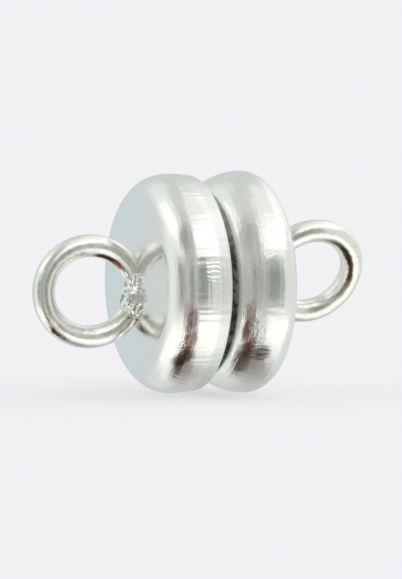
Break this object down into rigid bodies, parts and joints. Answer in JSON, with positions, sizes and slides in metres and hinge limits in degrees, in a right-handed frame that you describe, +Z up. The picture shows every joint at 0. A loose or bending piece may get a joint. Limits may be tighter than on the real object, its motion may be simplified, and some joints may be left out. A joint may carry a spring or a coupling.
{
  "type": "magnetic jewellery clasp",
  "caption": "Round magnetic clasp: polished silver-plated cups whose disc magnets meet face to face, each cup with a soldered wire ring for a cord or chain.",
  "frame": {"origin": "on the surface that the clasp lies on, under the middle of its box", "axes": "+X along the clasp's axis from the left ring to the right ring, +Z up, the left ring's plane is XZ"},
  "size_m": [0.013, 0.0082, 0.0081],
  "materials": {
    "silver_plate": "brass with bright polished silver plate, fine drawing scratches and small pits",
    "magnet_nickel": "sintered magnet with satin nickel plate"
  },
  "bodies": {
    "left_half": {"left_cup": "silver_plate", "left_magnet": "magnet_nickel"},
    "right_core": {"right_magnet": "magnet_nickel"},
    "right_half": {"right_cup": "silver_plate"}
  },
  "joints": [
    {"name": "pull_apart", "type": "slide", "parent": "left_half", "child": "right_core", "axis": [1, 0, 0], "range_m": [0, 0.01]},
    {"name": "swivel", "type": "hinge", "parent": "right_core", "child": "right_half", "pos_m": [-0.00016, 0, 0.00406], "axis": [1, 0, 0], "continuous": true}
  ]
}
